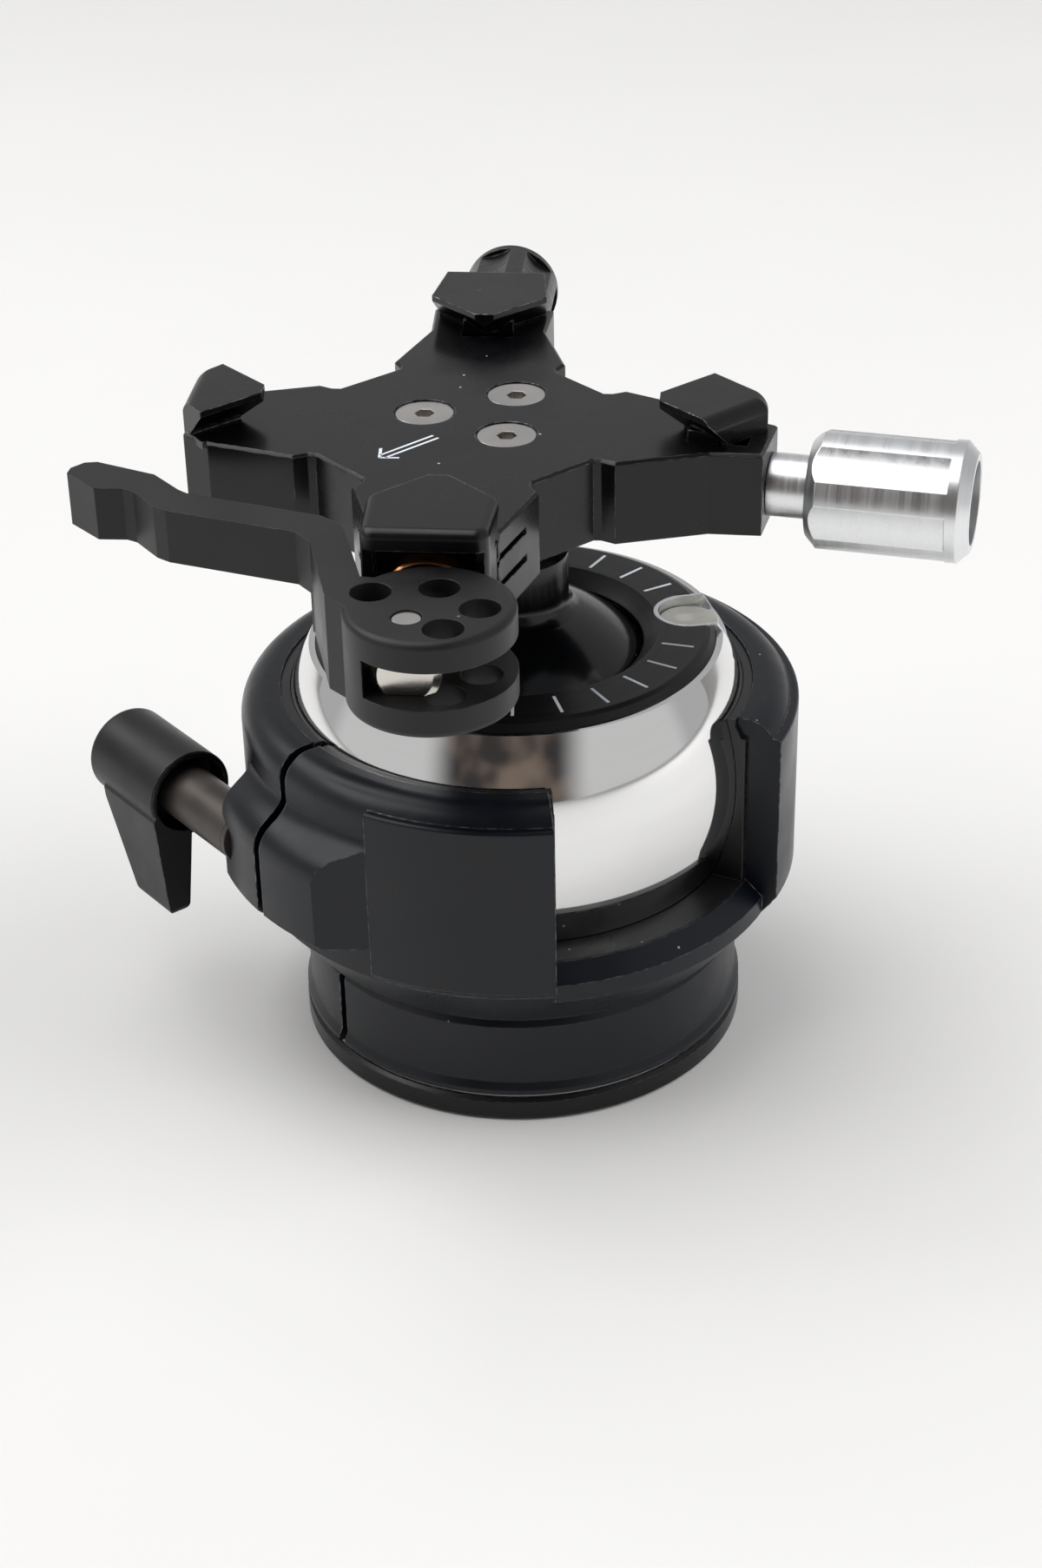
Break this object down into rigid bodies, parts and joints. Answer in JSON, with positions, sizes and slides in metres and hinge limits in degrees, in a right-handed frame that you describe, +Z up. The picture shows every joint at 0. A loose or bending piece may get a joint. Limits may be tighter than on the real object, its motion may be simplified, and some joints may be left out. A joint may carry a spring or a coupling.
{
  "type": "tripod ball head",
  "caption": "Double ball head for a tripod: a panning ball in a split housing carries a second, levelling ball and a cross-shaped clamp with knob-driven and cam-driven jaws.",
  "frame": {"origin": "centre of the underside of the base, on the tripod screw's axis", "axes": "+Z up along the base's axis; the clamp's four arms lie along X and Y at rest, with the fixed jaw at -X and the cam lever at -Y"},
  "size_m": [0.1224, 0.1266, 0.097],
  "materials": {
    "anodised_black": "satin anodised",
    "clamp_black": "satin anodised",
    "gloss_black": "polished black anodised",
    "hardcoat": "dark hard coat",
    "polished_aluminium": "mirror polished",
    "turned_aluminium": "fine turned",
    "stainless": "satin",
    "dark_steel": "oiled",
    "spring_steel": "bare",
    "brass": "satin",
    "copper": "bright",
    "slide_plastic": "matte",
    "dark_plastic": "matte",
    "vial": "clear"
  },
  "bodies": {
    "base": {"base_disc": "anodised_black", "thread_bush": "stainless", "pan_hub": "turned_aluminium", "base_screws": "dark_steel", "pan_glide": "slide_plastic"},
    "housing": {"housing": "anodised_black", "liner": "dark_plastic", "seat_spring": "spring_steel", "lock_washer": "brass", "ball_seat": "slide_plastic"},
    "lock": {"lock_screw": "dark_steel", "lock_lever": "anodised_black", "lever_grub_screw": "dark_steel"},
    "ball": {"outer_ball": "polished_aluminium", "scale_ring": "gloss_black", "vial_cup": "turned_aluminium", "bubble_vial": "vial", "ball_retainer": "turned_aluminium"},
    "swivel": {"inner_seat": "slide_plastic"},
    "head": {"inner_ball": "gloss_black", "clamp_body": "clamp_black", "clamp_screws": "stainless", "guide_pins": "stainless", "pull_rod": "stainless", "cam_pin": "stainless"},
    "right_jaw": {"right_jaw": "clamp_black"},
    "right_knob": {"right_knob": "turned_aluminium", "right_screw": "stainless", "right_clip": "spring_steel"},
    "back_jaw": {"back_jaw": "clamp_black"},
    "back_knob": {"back_knob": "anodised_black", "back_screw": "stainless", "back_clip": "spring_steel"},
    "front_jaw": {"front_jaw": "clamp_black", "thrust_plate": "copper"},
    "cam": {"cam_lever": "hardcoat"}
  },
  "joints": [
    {"name": "base_pan", "type": "hinge", "parent": "base", "child": "housing", "pos_m": [0, 0, 0.004], "axis": [0, 0, 1], "continuous": true},
    {"name": "lock_turn", "type": "hinge", "parent": "housing", "child": "lock", "pos_m": [-0.02891, -0.02513, 0.0366], "axis": [-0.6884, 0.7254, 0], "range_deg": [-5, 110]},
    {"name": "ball_tilt", "type": "hinge", "parent": "housing", "child": "ball", "pos_m": [0, 0, 0.0426], "axis": [0.749, 0.6626, 0], "range_deg": [-20, 60]},
    {"name": "inner_pan", "type": "hinge", "parent": "ball", "child": "swivel", "pos_m": [0, 0, 0.0426], "axis": [0, 0, 1], "continuous": true},
    {"name": "inner_tilt", "type": "hinge", "parent": "swivel", "child": "head", "pos_m": [0, 0, 0.0426], "axis": [1, 0, 0], "range_deg": [-20, 20]},
    {"name": "right_knob_turn", "type": "hinge", "parent": "head", "child": "right_knob", "pos_m": [0.0391, -0.00937, 0.08635], "axis": [0.9848, -0.1736, 0], "range_deg": [0, 1125]},
    {"name": "right_jaw_slide", "type": "slide", "parent": "head", "child": "right_jaw", "axis": [0.9848, -0.1736, 0], "range_m": [0, 0.0025]},
    {"name": "back_knob_turn", "type": "hinge", "parent": "head", "child": "back_knob", "pos_m": [-0.0056, 0.0391, 0.08635], "axis": [0, 1, 0], "range_deg": [-810, 315]},
    {"name": "back_jaw_slide", "type": "slide", "parent": "head", "child": "back_jaw", "axis": [0, 1, 0], "range_m": [-0.0018, 0.0007]},
    {"name": "cam_turn", "type": "hinge", "parent": "head", "child": "cam", "pos_m": [-0.00605, -0.0598, 0.08635], "axis": [0, 0, 1], "range_deg": [0, 110]},
    {"name": "front_jaw_slide", "type": "slide", "parent": "head", "child": "front_jaw", "axis": [0, -1, 0], "range_m": [0, 0.0006]}
  ],
  "couplings": [
    {"joint": "right_jaw_slide", "follows": "right_knob_turn", "m_per_rad": 0.00012732},
    {"joint": "back_jaw_slide", "follows": "back_knob_turn", "m_per_rad": 0.00012732},
    {"joint": "front_jaw_slide", "follows": "cam_turn", "m_per_rad": 0.00031}
  ]
}
